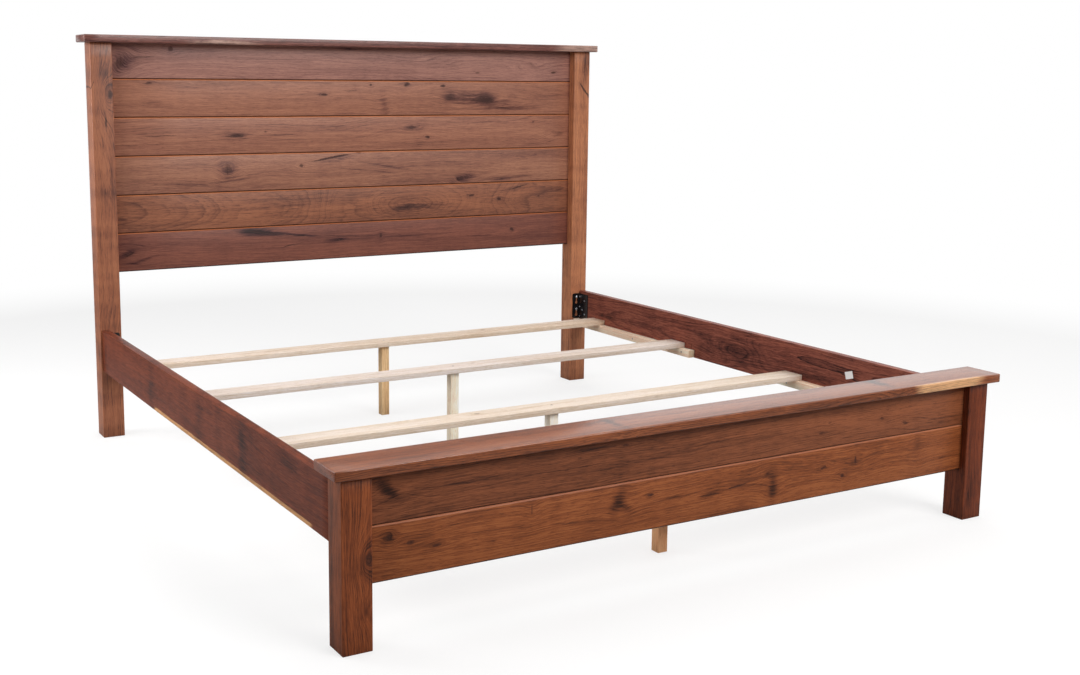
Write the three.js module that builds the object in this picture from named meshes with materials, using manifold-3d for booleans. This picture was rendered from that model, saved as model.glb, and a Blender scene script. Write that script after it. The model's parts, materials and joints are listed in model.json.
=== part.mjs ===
// King-size walnut bed frame: plank headboard and footboard on square posts, two side
// rails hung on steel keyhole brackets, poplar ledgers and four loose cross slats, each
// with its own centre leg. Millimetres, +Z up, +Y towards the headboard, origin on the
// floor in the middle of the frame. Left and right are as seen from the foot end.
import * as THREE from 'three';
import { mergeVertices } from 'three/addons/utils/BufferGeometryUtils.js';
import Module from 'manifold-3d';

const wasm = await Module();
wasm.setup();

// ---------------------------------------------------------------- driving dimensions
const FRAME_WIDTH = 2100;          // outside to outside of the posts
const RAIL_SPAN = 2083;            // clear length between the head and foot posts (82 in)
const POST = 77;                   // square posts
const POST_EASE = 3;               // eased long edges
const CAP_OVERHANG = 24;           // caps past the posts, all four sides
const FIT = 0.3;                   // clearance between seated wooden pieces

const HEAD_POST_HEIGHT = 1421;
const HEAD_CAP = 27;
const HEAD_RECESS = 38.4;          // plank face behind the face of the post
const HEAD_SEAMS = [1429, 1294.7, 1157.2, 1018.0, 877.6, 740.2, 599.9]; // top to bottom

const FOOT_POST_HEIGHT = 419;
const FOOT_CAP = 26;
const FOOT_RECESS = 22;
const FOOT_SEAMS = [427, 290.5, 152.4];

const PLANK = 25;                  // plank thickness
const V_GROOVE = 3.2;              // chamfer of a plank's front edges
const TONGUE = 8;                  // tongue height and thickness
const HOUSING = 12;                // plank end let into the post

const RAIL_INSET = 7;              // rail face behind the post's outer face
const RAIL_THICK = 28;
const RAIL_BOTTOM = 246;
const RAIL_TOP = 397.5;
const RAIL_EASE = 2;

const LEDGER = 28;                 // square ledger strip, just above the rail's bottom
const LEDGER_BOTTOM = 248;
const LEDGER_HEAD_END = 233.5;     // foot-side end of the head ledgers
const LEDGER_FOOT_END = -266.5;    // head-side end of the foot ledgers

const SLAT_THICK = 19;
const SLAT_WIDTH = 86;
const SLAT_HALF = 1014.5;          // slats reach across to the rails
const SLAT_Y = [885, 336.3, -320.5, -894];
const LEG = 32;
const LEG_X = [1, 13, 12, 10];

const BRACKET_STEEL = 2.5;
const BRACKET_BOTTOM = 278;
const BRACKET_TOP = 386;
const BRACKET_POST_FLANGE = 34;
const BRACKET_RAIL_FLANGE = 70;
const BOLT_FROM_RAIL = 14.5;       // shoulder bolts, from the rail's inner face
const BOLT_Z = [370.7, 316.5];
const KEY_TRAVEL = 24;             // drop of the keyhole slot
const SCREW_BACK = 48;             // bracket screws, from the post's face
const SCREW_Z = [357, 298];

const LABEL = [35, 25, 0.4];
const LABEL_POS = [-585, 337.5];   // y, z of its middle on the right rail
const LABEL_TILT = 16.6;

// ---------------------------------------------------------------- derived positions
const OUT = FRAME_WIDTH / 2;                   // outer post face
const IN = OUT - POST;                         // inner post face
const HALF = RAIL_SPAN / 2;                    // facing faces of head and foot posts
const RAIL_OUT = OUT - RAIL_INSET;
const RAIL_IN = RAIL_OUT - RAIL_THICK;
const MID = HALF + POST / 2;                   // post centre line
const HEAD_FACE = HALF + HEAD_RECESS;          // plank faces, both looking to -Y
const FOOT_FACE = -HALF - POST + FOOT_RECESS;
const LEDGER_TOP = LEDGER_BOTTOM + LEDGER;
const SLAT_BOTTOM = LEDGER_TOP + 0.2;
const SLAT_TOP = SLAT_BOTTOM + SLAT_THICK;

// ---------------------------------------------------------------- materials
const mat = (color, roughness, metalness = 0) => new THREE.MeshStandardMaterial({ color, roughness, metalness });
const WALNUT_HEAD = mat(0x8a5a48, 0.48);
const WALNUT_FOOT = mat(0x6f402b, 0.48);
const WALNUT_POST = mat(0x9c6a4e, 0.48);
const WALNUT_RAIL = mat(0x5f372d, 0.45);
const POPLAR = mat(0xdcc6a8, 0.68);
const BLACK_STEEL = mat(0x121214, 0.45, 0.6);
const ZINC = mat(0xb9bcc2, 0.32, 0.9);
const DARK_ZINC = mat(0x55565a, 0.42, 0.8);
const BEECH = mat(0xcaa679, 0.7);
const PAPER = mat(0xf2f2ee, 0.8);

// ---------------------------------------------------------------- solids
// Welds a geometry to one closed indexed shell, without slivers, faces out.
function weld(geometry) {
  const bare = geometry.index ? geometry.toNonIndexed() : geometry.clone();
  for (const name of Object.keys(bare.attributes)) if (name !== 'position') bare.deleteAttribute(name);
  bare.clearGroups();
  const g = mergeVertices(bare, 1e-4);
  const p = g.attributes.position, src = g.index.array, keep = [];
  let volume = 0;
  const a = new THREE.Vector3(), b = new THREE.Vector3(), c = new THREE.Vector3();
  for (let i = 0; i < src.length; i += 3) {
    const [u, v, w] = [src[i], src[i + 1], src[i + 2]];
    if (u === v || v === w || w === u) continue;
    a.fromBufferAttribute(p, u); b.fromBufferAttribute(p, v); c.fromBufferAttribute(p, w);
    volume += a.dot(b.cross(c)) / 6;
    keep.push(u, v, w);
  }
  if (volume < 0) for (let i = 0; i < keep.length; i += 3) [keep[i], keep[i + 1]] = [keep[i + 1], keep[i]];
  g.setIndex(keep);
  return g;
}

function solid(geometry) {
  const g = weld(geometry);
  return new wasm.Manifold(new wasm.Mesh({
    numProp: 3,
    vertProperties: new Float32Array(g.attributes.position.array),
    triVerts: new Uint32Array(g.index.array),
  }));
}

function shell(manifold) {
  const m = manifold.getMesh();
  const g = new THREE.BufferGeometry();
  const n = m.vertProperties.length / m.numProp, pos = new Float32Array(n * 3);
  for (let i = 0; i < n; i++) for (let k = 0; k < 3; k++) pos[3 * i + k] = m.vertProperties[i * m.numProp + k];
  g.setAttribute('position', new THREE.BufferAttribute(pos, 3));
  g.setIndex([...m.triVerts]);
  return g;
}

const cut = (body, ...tools) => shell(tools.reduce((s, t) => s.subtract(solid(t)), solid(body)));

// Rectangle with eased corners, centred, for an extrusion's section.
function easedRect(w, h, r) {
  const s = new THREE.Shape(), x = w / 2, y = h / 2, d = r * (1 - Math.SQRT1_2);
  s.moveTo(-x + r, -y);
  s.lineTo(x - r, -y); s.lineTo(x - d, -y + d); s.lineTo(x, -y + r);
  s.lineTo(x, y - r); s.lineTo(x - d, y - d); s.lineTo(x - r, y);
  s.lineTo(-x + r, y); s.lineTo(-x + d, y - d); s.lineTo(-x, y - r);
  s.lineTo(-x, -y + r); s.lineTo(-x + d, -y + d);
  s.closePath();
  return s;
}

// Extrudes a section along an axis; `ease` also eases the two ends.
function prism(shape, length, ease = 0) {
  const g = new THREE.ExtrudeGeometry(shape, ease > 0
    ? { depth: length - 2 * ease, steps: 1, curveSegments: 6, bevelEnabled: true, bevelThickness: ease, bevelSize: ease, bevelOffset: -ease, bevelSegments: 1 }
    : { depth: length, steps: 1, curveSegments: 6, bevelEnabled: false });
  g.translate(0, 0, ease - length / 2);
  return g;
}

// A board between two corners, its grain along the given axis.
function board(axis, [x0, y0, z0], [x1, y1, z1], r, ease) {
  const c = [(x0 + x1) / 2, (y0 + y1) / 2, (z0 + z1) / 2], s = [x1 - x0, y1 - y0, z1 - z0];
  let g;
  if (axis === 'x') g = prism(easedRect(s[2], s[1], r), s[0], ease).rotateY(Math.PI / 2);
  else if (axis === 'y') g = prism(easedRect(s[0], s[2], r), s[1], ease).rotateX(-Math.PI / 2);
  else g = prism(easedRect(s[0], s[1], r), s[2], ease);
  return g.translate(...c);
}

const block = ([x0, y0, z0], [x1, y1, z1]) =>
  new THREE.BoxGeometry(x1 - x0, y1 - y0, z1 - z0).translate((x0 + x1) / 2, (y0 + y1) / 2, (z0 + z1) / 2);

// Round bar or drill between two depths along an axis.
function rod(axis, r, [x, y, z], length, sides = 16) {
  const g = new THREE.CylinderGeometry(r, r, length, sides);
  if (axis === 'x') g.rotateZ(Math.PI / 2);
  if (axis === 'z') g.rotateX(Math.PI / 2);
  return g.translate(x, y, z);
}

const root = new THREE.Group();
function piece(name, geometry, material) {
  const g = weld(geometry);
  g.computeBoundingBox();
  const c = g.boundingBox.getCenter(new THREE.Vector3());
  g.translate(-c.x, -c.y, -c.z);
  g.computeVertexNormals();
  const mesh = new THREE.Mesh(g, material);
  mesh.name = name;
  mesh.position.copy(c);
  root.add(mesh);
}

// ---------------------------------------------------------------- posts
// Each post has a housing for the plank ends in its inner face, a dowel bore in its top
// and two bores for the shoulder bolts in the face that looks at the other end.
const sides = [['left', -1], ['right', 1]];
function post(name, side, head) {
  const y0 = head ? HALF : -HALF - POST, height = head ? HEAD_POST_HEIGHT : FOOT_POST_HEIGHT;
  const face = head ? HEAD_FACE : FOOT_FACE, bottom = (head ? HEAD_SEAMS : FOOT_SEAMS).at(-1);
  const xa = side < 0 ? -OUT : IN, xb = side < 0 ? -IN : OUT;
  const inner = side * IN, deep = side * (IN + HOUSING + FIT);
  const housing = block(
    [Math.min(inner - side, deep), face - FIT, bottom - FIT],
    [Math.max(inner - side, deep), face + PLANK + FIT, height + 5]);
  const dowel = rod('z', 5.4, [side * (IN + POST / 2), head ? MID : -MID, height - 13 + 2.5], 31);
  const bolts = BOLT_Z.map((z) => rod('y', 3.0, [side * (RAIL_IN - BOLT_FROM_RAIL), head ? HALF + 17 : -HALF - 17, z], 44, 12));
  piece(name, cut(board('z', [xa, y0, 0], [xb, y0 + POST, height], POST_EASE, 2), housing, dowel, ...bolts), WALNUT_POST);
}
for (const [word, side] of sides) post(`headboard_post_${word}`, side, true);
for (const [word, side] of sides) post(`footboard_post_${word}`, side, false);

// ---------------------------------------------------------------- tongue and groove planks
function plank(name, face, top, bottom, isTop, isBottom, material) {
  const t = PLANK, v = V_GROOVE, g = 0.25, m = t / 2, w = TONGUE / 2, hi = top - (isTop ? FIT : g), lo = bottom + (isBottom ? 0 : g);
  const s = new THREE.Shape();                   // section: depth to the right, height up
  s.moveTo(0, lo + v);
  s.lineTo(v, lo);
  if (!isBottom) {                               // groove over the next plank's tongue
    s.lineTo(m - w - 0.3, lo); s.lineTo(m - w - 0.3, lo + TONGUE + 0.6);
    s.lineTo(m + w + 0.3, lo + TONGUE + 0.6); s.lineTo(m + w + 0.3, lo);
  }
  s.lineTo(t - 1.5, lo); s.lineTo(t, lo + 1.5);
  s.lineTo(t, hi - 1.5); s.lineTo(t - 1.5, hi);
  if (!isTop) { s.lineTo(m + w, hi); s.lineTo(m + w, hi + TONGUE); s.lineTo(m - w, hi + TONGUE); s.lineTo(m - w, hi); }
  s.lineTo(v, hi); s.lineTo(0, hi - v);
  s.closePath();
  const half = IN + HOUSING;
  // (depth, height, length) -> (y, z, x)
  const geo = new THREE.ExtrudeGeometry(s, { depth: 2 * half, steps: 1, bevelEnabled: false });
  const turn = new THREE.Matrix4().makeBasis(new THREE.Vector3(0, 1, 0), new THREE.Vector3(0, 0, 1), new THREE.Vector3(1, 0, 0));
  piece(name, geo.applyMatrix4(turn).translate(-half, face, 0), material);
}
for (let i = 0; i < 6; i++) plank(`headboard_plank_${i + 1}`, HEAD_FACE, HEAD_SEAMS[i], HEAD_SEAMS[i + 1], i === 0, i === 5, WALNUT_HEAD);
plank('footboard_plank_upper', FOOT_FACE, FOOT_SEAMS[0], FOOT_SEAMS[1], true, false, WALNUT_FOOT);
plank('footboard_plank_lower', FOOT_FACE, FOOT_SEAMS[1], FOOT_SEAMS[2], false, true, WALNUT_FOOT);

// ---------------------------------------------------------------- caps and their dowels
function cap(name, head) {
  const z0 = head ? HEAD_POST_HEIGHT : FOOT_POST_HEIGHT, z1 = z0 + (head ? HEAD_CAP : FOOT_CAP);
  const ya = head ? HALF - CAP_OVERHANG : -HALF - POST - CAP_OVERHANG, yb = ya + POST + 2 * CAP_OVERHANG;
  const face = head ? HEAD_FACE : FOOT_FACE, half = IN + HOUSING + FIT;
  const groove = block([-half, face - FIT, z0 - 5], [half, face + PLANK + FIT, z0 + 8.3]);
  const dowels = sides.map(([, side]) => rod('z', 5.4, [side * (IN + POST / 2), head ? MID : -MID, z0 + 8], 24));
  piece(name, cut(board('x', [-OUT - CAP_OVERHANG, ya, z0], [OUT + CAP_OVERHANG, yb, z1], 4, 3), groove, ...dowels), WALNUT_HEAD);
}
cap('headboard_cap', true);
cap('footboard_cap', false);
for (const [end, head] of [['headboard', true], ['footboard', false]])
  for (const [word, side] of sides) {
    const z = head ? HEAD_POST_HEIGHT : FOOT_POST_HEIGHT;
    piece(`${end}_cap_dowel_${word}`, rod('z', 5, [side * (IN + POST / 2), head ? MID : -MID, z - 3], 42), BEECH);
  }

// ---------------------------------------------------------------- side rails and ledgers
for (const [word, side] of sides) {
  const x0 = side < 0 ? -RAIL_OUT : RAIL_IN, x1 = side < 0 ? -RAIL_IN : RAIL_OUT;
  const pilots = [];
  for (const end of [-1, 1]) for (const z of SCREW_Z)
    pilots.push(rod('x', 2.2, [side * (RAIL_IN + 10), end * (HALF - SCREW_BACK), z], 24, 12));
  piece(`side_rail_${word}`, cut(board('y', [x0, -HALF + FIT, RAIL_BOTTOM], [x1, HALF - FIT, RAIL_TOP], RAIL_EASE, 1.5), ...pilots), WALNUT_RAIL);
  const a = side * (RAIL_IN - LEDGER), b = side * (RAIL_IN - 0.2);
  for (const [end, y0, y1] of [['head', LEDGER_HEAD_END, HALF - 0.5], ['foot', -HALF + 0.5, LEDGER_FOOT_END]])
    piece(`ledger_${word}_${end}`, board('y', [Math.min(a, b), y0, LEDGER_BOTTOM], [Math.max(a, b), y1, LEDGER_TOP], 1.2, 0.8), POPLAR);
}

// ---------------------------------------------------------------- keyhole brackets
// A steel angle screwed to the rail's inner face. Its other flange hooks over two
// shoulder bolts in the post: the wide end of each slot passes the head, the rail drops.
for (const [end, dir] of [['head', 1], ['foot', -1]])
  for (const [word, side] of sides) {
    const h = BRACKET_TOP - BRACKET_BOTTOM, t = BRACKET_STEEL, e = 7;
    const yFace = dir * (HALF - FIT), xFace = side * (RAIL_IN - 0.2);
    // post flange with two free corners taken off
    const flange = (w) => {
      const s = new THREE.Shape();
      s.moveTo(0, 0); s.lineTo(w - e, 0);
      for (let k = 1; k <= 4; k++) s.lineTo(w - e + e * Math.sin(k * Math.PI / 8), e - e * Math.cos(k * Math.PI / 8));
      for (let k = 0; k <= 4; k++) s.lineTo(w - e + e * Math.cos(k * Math.PI / 8), h - e + e * Math.sin(k * Math.PI / 8));
      s.lineTo(0, h); s.closePath();
      return new THREE.ExtrudeGeometry(s, { depth: t, steps: 1, bevelEnabled: false });
    };
    const place = (g, ux, uy) => { // width direction, then height up, then thickness
      const m = new THREE.Matrix4().makeBasis(ux, new THREE.Vector3(0, 0, 1), uy);
      m.setPosition(xFace, yFace, BRACKET_BOTTOM);
      return g.applyMatrix4(m);
    };
    const inX = new THREE.Vector3(-side, 0, 0), inY = new THREE.Vector3(0, -dir, 0);
    const postFlange = place(flange(BRACKET_POST_FLANGE), inX, inY);
    const railFlange = place(flange(BRACKET_RAIL_FLANGE), inY, inX);
    const bx = side * (RAIL_IN - BOLT_FROM_RAIL);
    const tools = [];
    for (const z of BOLT_Z) {
      tools.push(rod('y', 3.9, [bx, yFace, z], 12, 16));
      tools.push(block([bx - 3.9, yFace - 6, z - KEY_TRAVEL], [bx + 3.9, yFace + 6, z]));
      tools.push(rod('y', 6.4, [bx, yFace, z - KEY_TRAVEL], 12, 16));
    }
    for (const z of SCREW_Z) tools.push(rod('x', 2.5, [xFace, dir * (HALF - SCREW_BACK), z], 12, 12));
    let body = solid(postFlange).add(solid(railFlange));
    for (const g of tools) body = body.subtract(solid(g));
    piece(`bracket_${end}_${word}`, shell(body), BLACK_STEEL);

    // shoulder bolts: domed head, neck in the slot, shank in the post
    BOLT_Z.forEach((z, i) => {
      const p = [[0, -32], [2.2, -31], [2.5, -30], [2.5, 0], [3.3, 0], [3.3, 3.2], [5.6, 3.2], [5.6, 5.2], [4.4, 6.3], [2.2, 6.9], [0, 7]];
      const g = new THREE.LatheGeometry(p.map(([r, y]) => new THREE.Vector2(r, y)), 12);
      g.rotateX(dir > 0 ? Math.PI : 0);
      piece(`bolt_${end}_${word}_${i ? 'lower' : 'upper'}`, g.translate(bx, dir * HALF, z), ZINC);
    });
    // bracket screws: pan head on the flange, shank in the rail
    SCREW_Z.forEach((z, i) => {
      const p = [[0, -22], [0.8, -21], [1.8, -18], [1.8, 2.9], [4, 2.9], [4, 3.9], [3, 4.8], [1.4, 5.1], [0, 5.2]];
      const g = new THREE.LatheGeometry(p.map(([r, y]) => new THREE.Vector2(r, y)), 12);
      g.rotateZ(side > 0 ? Math.PI / 2 : -Math.PI / 2);
      piece(`bracket_screw_${end}_${word}_${i ? 'lower' : 'upper'}`, g.translate(side * RAIL_IN, dir * (HALF - SCREW_BACK), z), DARK_ZINC);
    });
  }

// ---------------------------------------------------------------- slats and centre legs
SLAT_Y.forEach((y, i) => {
  const n = i + 1, x = LEG_X[i];
  const head = () => new THREE.CylinderGeometry(4.9, 2.4, 3.2, 16).rotateX(Math.PI / 2).translate(x, y, SLAT_TOP - 1.5);
  const slatBore = rod('z', 2.5, [x, y, SLAT_BOTTOM + 9], 40, 12);
  piece(`slat_${n}`, cut(board('x', [-SLAT_HALF, y - SLAT_WIDTH / 2, SLAT_BOTTOM], [SLAT_HALF, y + SLAT_WIDTH / 2, SLAT_TOP], 1.5, 1), slatBore, head()), POPLAR);
  piece(`slat_${n}_leg`, cut(board('z', [x - LEG / 2, y - LEG / 2, 0], [x + LEG / 2, y + LEG / 2, SLAT_BOTTOM - 0.1], 1.5, 1), rod('z', 2.5, [x, y, SLAT_BOTTOM - 22], 60, 12)), POPLAR);
  const p = [[0, -60], [0.8, -58], [2, -53], [2, -3.2], [3.9, -1.0], [3.9, -0.3], [0, -0.3]];
  const g = new THREE.LatheGeometry(p.map(([r, h]) => new THREE.Vector2(r, h)), 10).rotateX(Math.PI / 2);
  piece(`slat_${n}_leg_screw`, g.translate(x, y, SLAT_TOP), DARK_ZINC);
});

// ---------------------------------------------------------------- paper label on the right rail
{
  const g = new THREE.BoxGeometry(LABEL[2], LABEL[0], LABEL[1]).rotateX(-LABEL_TILT * Math.PI / 180);
  piece('rail_label', g.translate(RAIL_IN - LABEL[2] / 2 - 0.05, LABEL_POS[0], LABEL_POS[1]), PAPER);
}

export default root;
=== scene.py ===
import bpy, bmesh, json, math
from mathutils import Vector, Matrix, noise

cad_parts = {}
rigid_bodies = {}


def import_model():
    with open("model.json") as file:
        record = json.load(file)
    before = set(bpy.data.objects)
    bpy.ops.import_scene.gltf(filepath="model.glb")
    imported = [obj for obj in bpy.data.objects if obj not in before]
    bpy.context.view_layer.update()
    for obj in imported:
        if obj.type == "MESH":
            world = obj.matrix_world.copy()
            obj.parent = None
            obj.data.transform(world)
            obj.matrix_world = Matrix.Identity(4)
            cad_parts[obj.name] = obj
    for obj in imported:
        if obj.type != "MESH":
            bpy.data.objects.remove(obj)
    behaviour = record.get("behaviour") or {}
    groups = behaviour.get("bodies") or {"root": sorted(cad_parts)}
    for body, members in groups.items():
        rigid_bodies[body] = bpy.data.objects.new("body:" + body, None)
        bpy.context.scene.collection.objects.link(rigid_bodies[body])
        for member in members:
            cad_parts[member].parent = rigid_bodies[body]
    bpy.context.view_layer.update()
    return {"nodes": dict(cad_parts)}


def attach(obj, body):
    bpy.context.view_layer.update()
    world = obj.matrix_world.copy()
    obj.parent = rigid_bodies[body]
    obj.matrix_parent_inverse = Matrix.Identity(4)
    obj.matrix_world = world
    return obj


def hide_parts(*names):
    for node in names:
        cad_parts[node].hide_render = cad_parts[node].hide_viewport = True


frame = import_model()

scene = bpy.context.scene
BODY = "bed_frame"

# ------------------------------------------------------------------ sizes (metres, as in the CAD)
HALF, POST, OUT = 1.0415, 0.077, 1.050
IN = OUT - POST
HEAD_FACE, FOOT_FACE = HALF + 0.0384, -HALF - POST + 0.022
HEAD_SEAMS = [1.429, 1.2947, 1.1572, 1.0180, 0.8776, 0.7402, 0.5999]
FOOT_SEAMS = [0.427, 0.2905, 0.1524]
PLANK, HOUSING, FIT = 0.025, 0.012, 0.0003
RAIL_IN, RAIL_OUT = 1.015, 1.043
BOLT_Z, SCREW_Z = [0.3707, 0.3165], [0.357, 0.298]

# ------------------------------------------------------------------ node helpers
def srgb(r, g, b):
    f = lambda c: (c / 255 / 12.92) if c / 255 <= 0.04045 else ((c / 255 + 0.055) / 1.055) ** 2.4
    return (f(r), f(g), f(b), 1.0)

class Net:
    """Short-hand for building a shader network."""
    def __init__(self, tree):
        self.t = tree
    def node(self, kind, **props):
        n = self.t.nodes.new(kind)
        for k, v in props.items():
            setattr(n, k, v)
        return n
    def put(self, socket, value):
        if isinstance(value, bpy.types.NodeSocket):
            self.t.links.new(value, socket)
        elif value is not None:
            socket.default_value = value
    def m(self, op, a, b=None, c=None, clamp=False):
        n = self.node("ShaderNodeMath", operation=op, use_clamp=clamp)
        for i, v in enumerate((a, b, c)):
            if v is not None:
                self.put(n.inputs[i], v)
        return n.outputs[0]
    def add(self, a, b): return self.m("ADD", a, b)
    def sub(self, a, b): return self.m("SUBTRACT", a, b)
    def mul(self, a, b): return self.m("MULTIPLY", a, b)
    def sep(self, v):
        n = self.node("ShaderNodeSeparateXYZ"); self.put(n.inputs[0], v); return n.outputs
    def comb(self, x, y, z):
        n = self.node("ShaderNodeCombineXYZ")
        for i, v in enumerate((x, y, z)): self.put(n.inputs[i], v)
        return n.outputs[0]
    def scale(self, v, s):
        n = self.node("ShaderNodeVectorMath", operation="MULTIPLY")
        self.put(n.inputs[0], v); n.inputs[1].default_value = s; return n.outputs[0]
    def shift(self, v, s):
        n = self.node("ShaderNodeVectorMath", operation="ADD")
        self.put(n.inputs[0], v); self.put(n.inputs[1], s); return n.outputs[0]
    def noise(self, v, scale=1.0, detail=2.0, rough=0.5, dist=0.0, col=False):
        n = self.node("ShaderNodeTexNoise")
        self.put(n.inputs["Vector"], v)
        n.inputs["Scale"].default_value = scale; n.inputs["Detail"].default_value = detail
        n.inputs["Roughness"].default_value = rough; n.inputs["Distortion"].default_value = dist
        return n.outputs["Color" if col else "Fac"]
    def step(self, x, lo, hi, smooth=True):
        n = self.node("ShaderNodeMapRange", clamp=True)
        n.interpolation_type = "SMOOTHSTEP" if smooth else "LINEAR"
        self.put(n.inputs["Value"], x)
        n.inputs["From Min"].default_value = lo; n.inputs["From Max"].default_value = hi
        return n.outputs["Result"]
    def ramp(self, fac, stops, interp="LINEAR"):
        n = self.node("ShaderNodeValToRGB"); self.put(n.inputs[0], fac)
        r = n.color_ramp; r.interpolation = interp
        while len(r.elements) < len(stops): r.elements.new(0.5)
        for e, (p, c) in zip(r.elements, stops):
            e.position = p; e.color = c if len(c) == 4 else (*c, 1)
        return n.outputs[0]
    def mix(self, fac, a, b, how="MIX"):
        n = self.node("ShaderNodeMix", data_type="RGBA", blend_type=how)
        self.put(n.inputs[0], fac); self.put(n.inputs[6], a); self.put(n.inputs[7], b)
        return n.outputs[2]

def new_material(name):
    mat = bpy.data.materials.new(name); mat.use_nodes = True
    t = mat.node_tree; t.nodes.clear()
    net = Net(t)
    out = net.node("ShaderNodeOutputMaterial"); bsdf = net.node("ShaderNodeBsdfPrincipled")
    t.links.new(bsdf.outputs[0], out.inputs[0])
    return mat, net, bsdf

def mark_group():
    """Distance from one knot, crack, smudge or swell of the grain, and how it bends the grain."""
    g = bpy.data.node_groups.new("grain_mark", "ShaderNodeTree")
    for nm, kind in (("P", "NodeSocketVector"), ("U0", "NodeSocketFloat"), ("V0", "NodeSocketFloat"), ("SU", "NodeSocketFloat"),
                     ("SV", "NodeSocketFloat"), ("Slope", "NodeSocketFloat"), ("Push", "NodeSocketFloat")):
        g.interface.new_socket(nm, in_out="INPUT", socket_type=kind)
    for nm in ("Radius", "Warp", "Halo"):
        g.interface.new_socket(nm, in_out="OUTPUT", socket_type="NodeSocketFloat")
    n = Net(g)
    i = n.node("NodeGroupInput").outputs; o = n.node("NodeGroupOutput").inputs
    p = n.sep(i["P"])
    du = n.sub(p[0], i["U0"]); dv = n.sub(n.sub(p[1], i["V0"]), n.mul(du, i["Slope"]))
    a = n.m("DIVIDE", du, i["SU"]); b = n.m("DIVIDE", dv, i["SV"])
    r2 = n.add(n.mul(a, a), n.mul(b, b))
    n.put(o["Radius"], n.m("SQRT", r2))
    wide = n.m("EXPONENT", n.mul(n.add(n.mul(n.mul(a, a), 0.10), n.mul(n.mul(b, b), 0.13)), -1.0))
    n.put(o["Warp"], n.mul(n.mul(n.mul(wide, i["Push"]), dv), -1.0))
    n.put(o["Halo"], n.m("EXPONENT", n.mul(r2, -0.5)))
    return g
MARK = mark_group()

AXES = {"x": (0, 2, 1), "y": (1, 2, 0), "z": (2, 0, 1), "cap": (0, 1, 2)}
# Colour factors per material, fitted so that each piece renders at its target colour under these lamps. They carry
# painted light as well as wood colour: where a face gets less light here than it should, its factor brightens the
# colour instead (the right rail and the ledgers are about doubled, and the legs get unequal factors from their unequal
# light), and the red-heavy left rail factor offsets the pale sheen on its outer face.
CAL = {"walnut_headboard_plank_1": (1.331, 1.466, 1.573),
       "walnut_headboard_plank_2": (1.173, 1.221, 1.343),
       "walnut_headboard_plank_3": (1.151, 1.191, 1.31),
       "walnut_headboard_plank_4": (1.138, 1.18, 1.298),
       "walnut_headboard_plank_5": (0.994, 1.017, 1.119),
       "walnut_headboard_plank_6": (1.01, 0.999, 1.069),
       "walnut_headboard_post_left": (0.729, 0.562, 0.505),
       "walnut_headboard_post_right": (1.148, 1.069, 1.064),
       "walnut_footboard_plank_upper": (1.448, 1.266, 1.01),
       "walnut_footboard_plank_lower": (1.218, 1.038, 0.769),
       "walnut_footboard_post_left": (1.358, 0.993, 0.596),
       "walnut_footboard_post_right": (1.25, 0.8, 0.5),
       "walnut_footboard_cap": (0.777, 0.56, 0.431),
       "walnut_headboard_cap": (0.675, 0.55, 0.605),
       "walnut_footboard_cap_sap": (0.924, 0.878, 0.966),
       "walnut_rail_left": (1.339, 0.803, 0.482),
       "walnut_rail_right": (2.276, 2.069, 2.003),
       "poplar_slat_1": (1.069, 1.038, 1.179),
       "poplar_slat_2": (0.987, 1.014, 1.272),
       "poplar_slat_3": (0.964, 0.955, 1.097),
       "poplar_leg_1": (1.399, 1.425, 1.408),
       "poplar_leg_2": (1.918, 2.449, 3.732),
       "poplar_leg_4": (1.612, 1.279, 1.229),
       "poplar_ledger_right_head": (2.05, 1.914, 2.383),
       "walnut_rail_left_sap": (0.979, 1.061, 1.167),
       "poplar_slat_4": (0.964, 0.955, 1.097),
       "poplar_leg_3": (1.918, 2.449, 3.732),
       "poplar_ledger_right_foot": (2.05, 1.914, 2.383),
       "poplar_ledger_left_head": (2.05, 1.914, 2.383),
       "poplar_ledger_left_foot": (2.05, 1.914, 2.383),
       "walnut_headboard_cap_sap": (0.924, 0.878, 0.966)}

def fit_tone_and_light(name, c, k=1.0):
    t = CAL.get(name, (1, 1, 1)); c = srgb(*c)
    return tuple(min(1.0, max(0.0, v * f * k)) for v, f in zip(c, t)) + (1.0,)

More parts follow.
